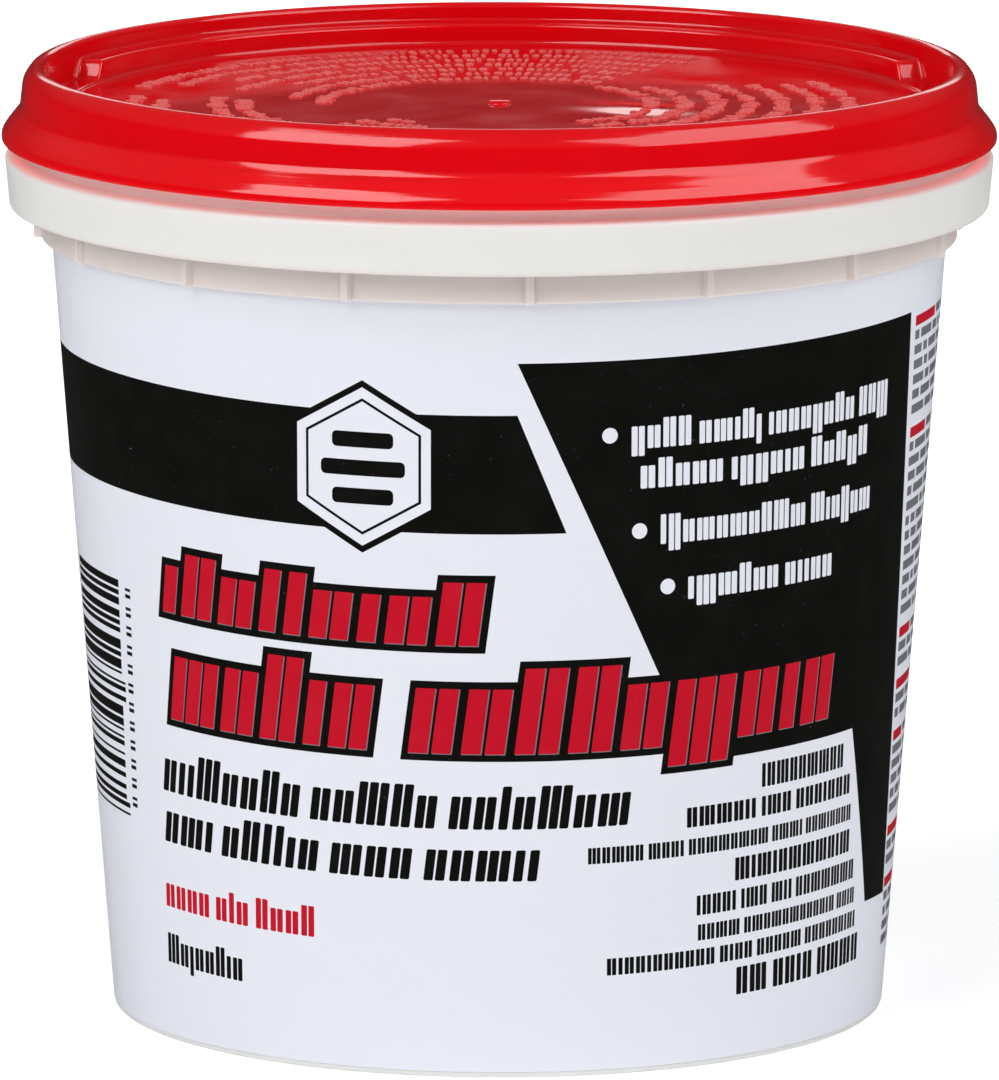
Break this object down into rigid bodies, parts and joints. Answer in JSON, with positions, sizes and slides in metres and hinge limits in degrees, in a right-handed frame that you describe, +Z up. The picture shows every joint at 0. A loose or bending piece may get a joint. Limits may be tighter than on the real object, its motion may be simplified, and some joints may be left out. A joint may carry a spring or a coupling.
{
  "type": "joint compound tub",
  "caption": "Round tapered plastic tub of ready-mixed joint compound, with a ribbed collar, a printed wrap and a push-fit lid that lifts straight off.",
  "frame": {"origin": "on the tub's axis, at the centre of the foot where it stands", "axes": "+Z up along the tub's axis; the front of the printed wrap faces -Y; +X is to the right as seen from the front"},
  "size_m": [0.127, 0.127, 0.1214],
  "materials": {
    "tub_plastic": "satin",
    "printed_film": "satin",
    "paste": "matte",
    "lid_plastic": "gloss"
  },
  "bodies": {
    "tub": {"tub_body": "tub_plastic", "printed_wrap": "printed_film", "paste_fill": "paste"},
    "lid": {"snap_lid": "lid_plastic"}
  },
  "joints": [
    {"name": "lid_lift", "type": "slide", "parent": "tub", "child": "lid", "axis": [0, 0, 1], "range_m": [0, 0.06]}
  ]
}
